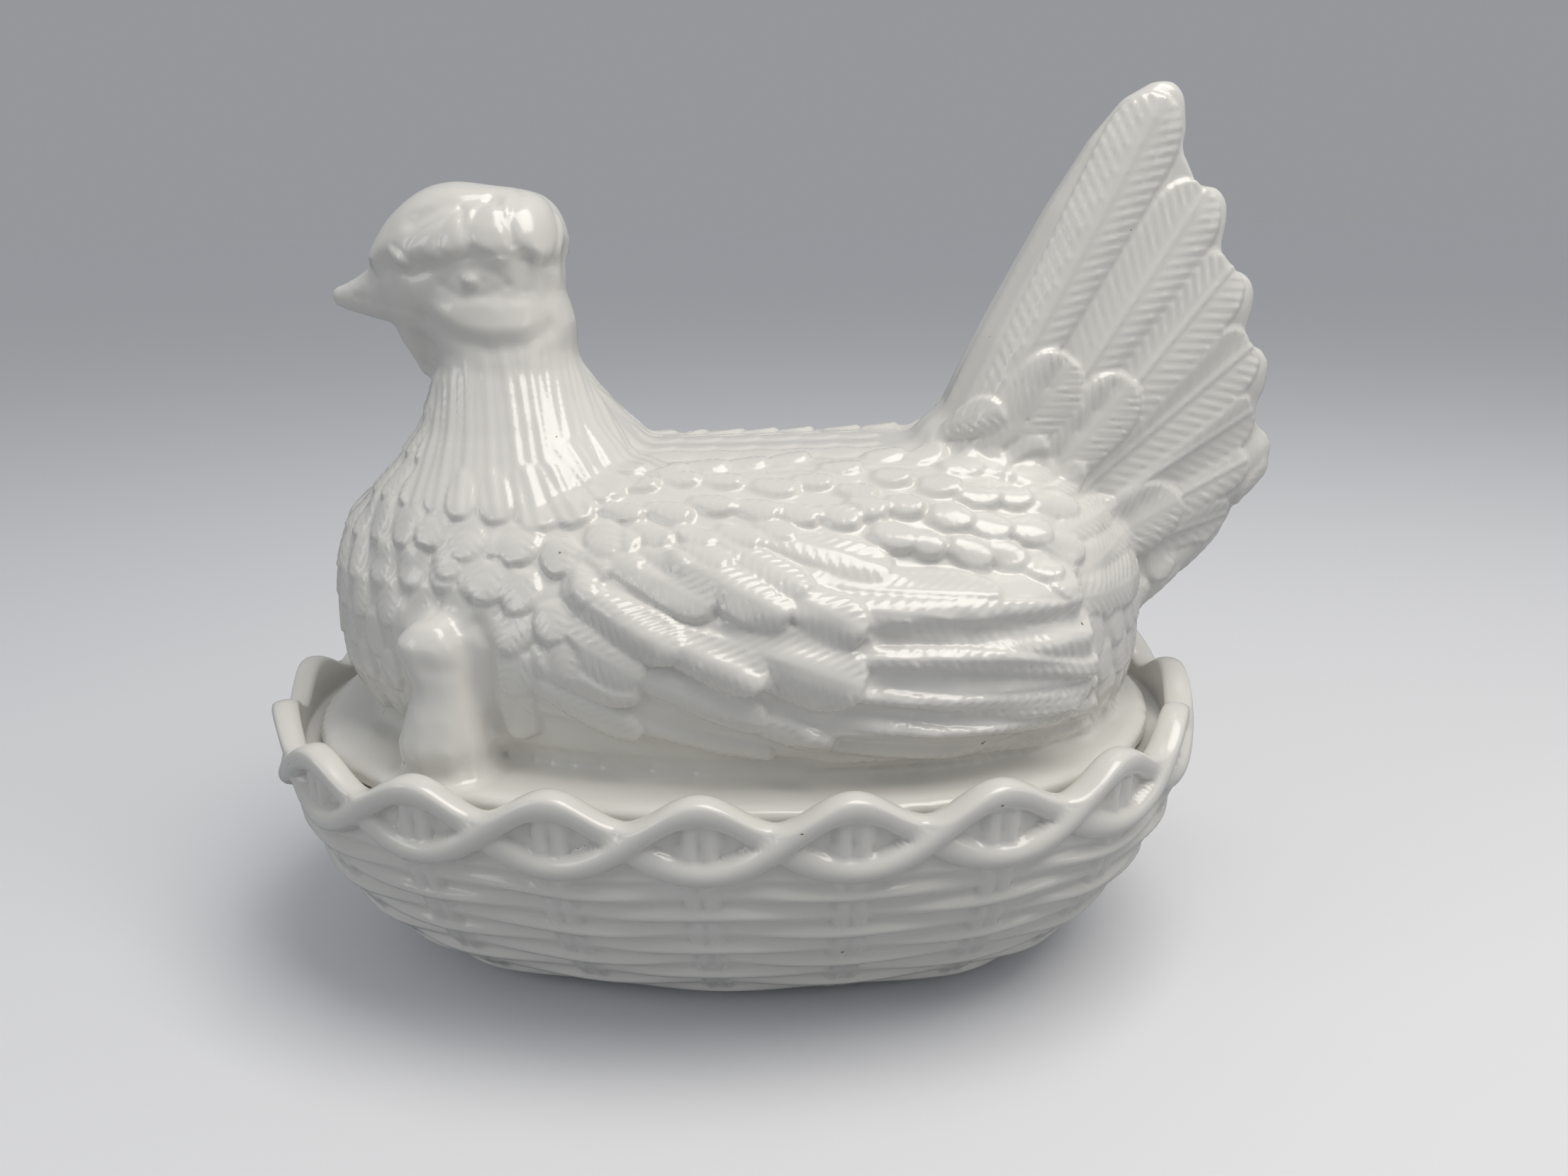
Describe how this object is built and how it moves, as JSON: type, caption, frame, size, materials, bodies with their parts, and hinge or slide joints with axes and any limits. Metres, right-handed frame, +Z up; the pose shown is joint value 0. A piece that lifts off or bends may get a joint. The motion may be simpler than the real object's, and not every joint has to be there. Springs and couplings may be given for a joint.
{
  "type": "hen on nest covered dish",
  "caption": "Covered dish of white glazed pottery: a hollow hen lifts off an oval basket with a braided, scalloped rim.",
  "frame": {"origin": "on the table, under the middle of the overall length (rim of the dish to tips of the tail), on the plane that halves the hen", "axes": "+Z up; the head looks along -X and the tail points along +X; +Y is the hen's own right-hand side"},
  "size_m": [0.2668, 0.1756, 0.2224],
  "materials": {
    "dish_glaze": "glossy off-white glaze",
    "cover_glaze": "glossy off-white glaze"
  },
  "bodies": {
    "dish": {"nest_dish": "dish_glaze"},
    "cover": {"hen_cover": "cover_glaze"}
  },
  "joints": [
    {"name": "cover_lift", "type": "slide", "parent": "dish", "child": "cover", "axis": [0, 0, 1], "range_m": [0, 0.06]}
  ]
}
